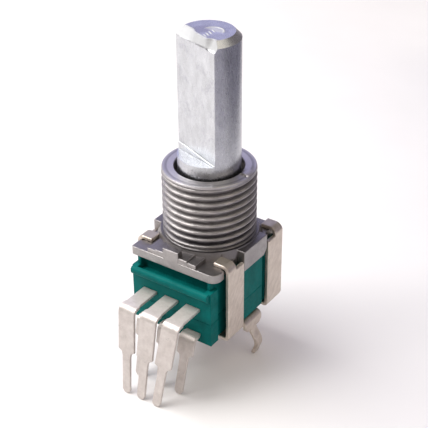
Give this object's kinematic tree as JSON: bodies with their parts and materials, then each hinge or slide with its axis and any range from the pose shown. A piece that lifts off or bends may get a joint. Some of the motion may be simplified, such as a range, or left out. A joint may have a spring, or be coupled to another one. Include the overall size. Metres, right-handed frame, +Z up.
{
  "type": "rotary potentiometer",
  "caption": "Dual-gang rotary potentiometer with a flatted metal shaft, a threaded bushing, green housings and right-angle solder leads.",
  "frame": {"origin": "on the shaft's axis at the mounting face, the flat seat at the foot of the bushing", "axes": "+Z runs up the shaft, -Y points to the side where the leads leave, +X is to the right seen from the lead side"},
  "size_m": [0.0118, 0.0168, 0.0334],
  "materials": {
    "casting": "satin",
    "shaft": "satin",
    "housing": "satin",
    "bracket": "satin",
    "terminal": "satin",
    "board": "matte",
    "carbon": "matte",
    "silver": "satin",
    "rotor": "matte",
    "spring": "satin"
  },
  "bodies": {
    "body": {"bushing_plate": "casting", "upper_housing": "housing", "lower_housing": "housing", "mounting_bracket": "bracket", "upper_terminal_left": "terminal", "upper_terminal_centre": "terminal", "upper_terminal_right": "terminal", "lower_terminal_left": "terminal", "lower_terminal_centre": "terminal", "lower_terminal_right": "terminal", "upper_element_board": "board", "upper_resistive_track": "carbon", "upper_collector_ring": "silver", "lower_element_board": "board", "lower_resistive_track": "carbon", "lower_collector_ring": "silver"},
    "rotor_shaft": {"shaft": "shaft", "upper_rotor": "rotor", "upper_wiper": "spring", "lower_rotor": "rotor", "lower_wiper": "spring"}
  },
  "joints": [
    {"name": "shaft_turn", "type": "hinge", "parent": "body", "child": "rotor_shaft", "pos_m": [0, 0, 0], "axis": [0, 0, 1], "range_deg": [-135, 165]}
  ]
}
